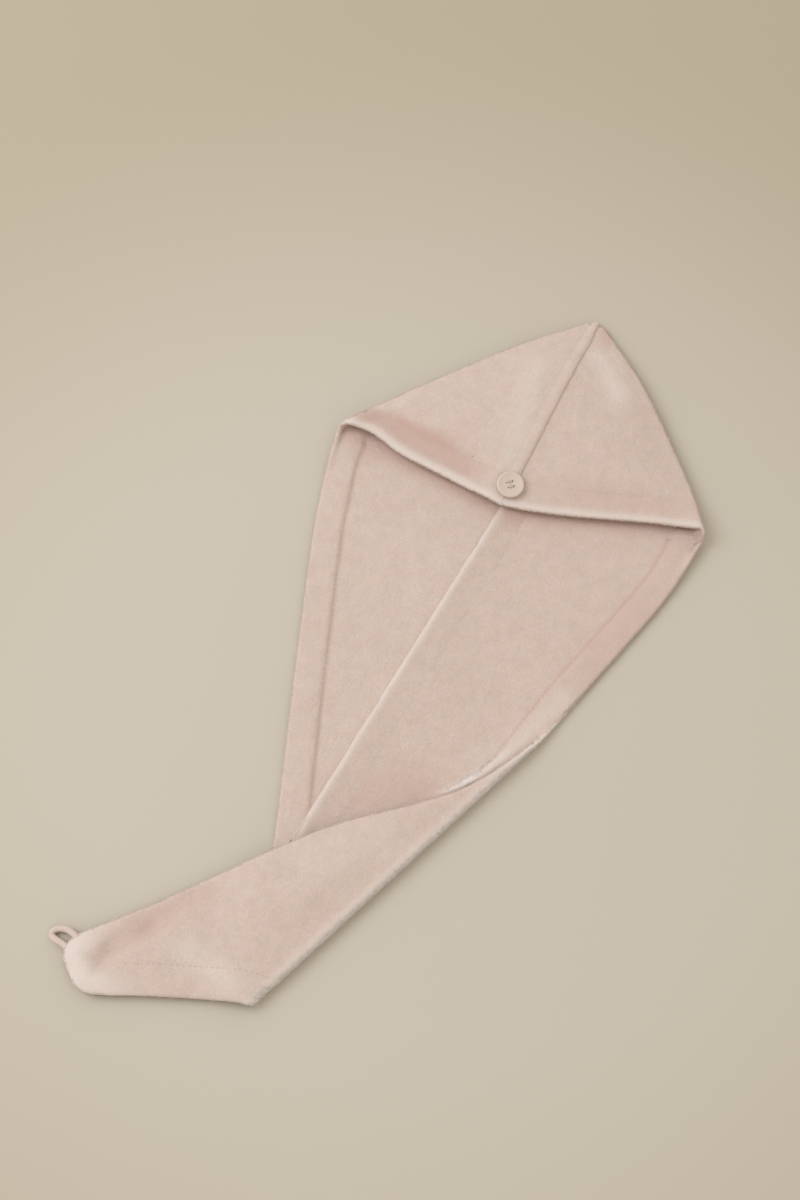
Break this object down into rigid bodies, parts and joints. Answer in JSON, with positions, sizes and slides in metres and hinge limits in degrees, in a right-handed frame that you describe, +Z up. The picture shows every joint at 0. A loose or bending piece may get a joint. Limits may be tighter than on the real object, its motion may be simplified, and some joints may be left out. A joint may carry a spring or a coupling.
{
  "type": "hair turban towel",
  "caption": "Pale pink terry hair turban towel laid out flat, pocket folded shut, tail folded over, with a button and an elastic loop.",
  "frame": {"origin": "middle of the base, on the surface that the towel lies on", "axes": "+Z up from the surface, +Y along the back seam from the tail to the crown point, +X to the right hem"},
  "size_m": [0.2704, 0.5998, 0.0205],
  "materials": {
    "terry_left": "short looped pile",
    "terry_right": "short looped pile",
    "seam_cloth": "felled terry",
    "button_plastic": "satin",
    "thread": "sewing thread",
    "elastic": "covered elastic cord"
  },
  "bodies": {
    "root": {"left_panel": "terry_left", "right_panel": "terry_right", "back_seam": "seam_cloth", "front_seam": "seam_cloth", "button": "button_plastic", "button_thread": "thread", "button_loop": "elastic"}
  },
  "joints": []
}
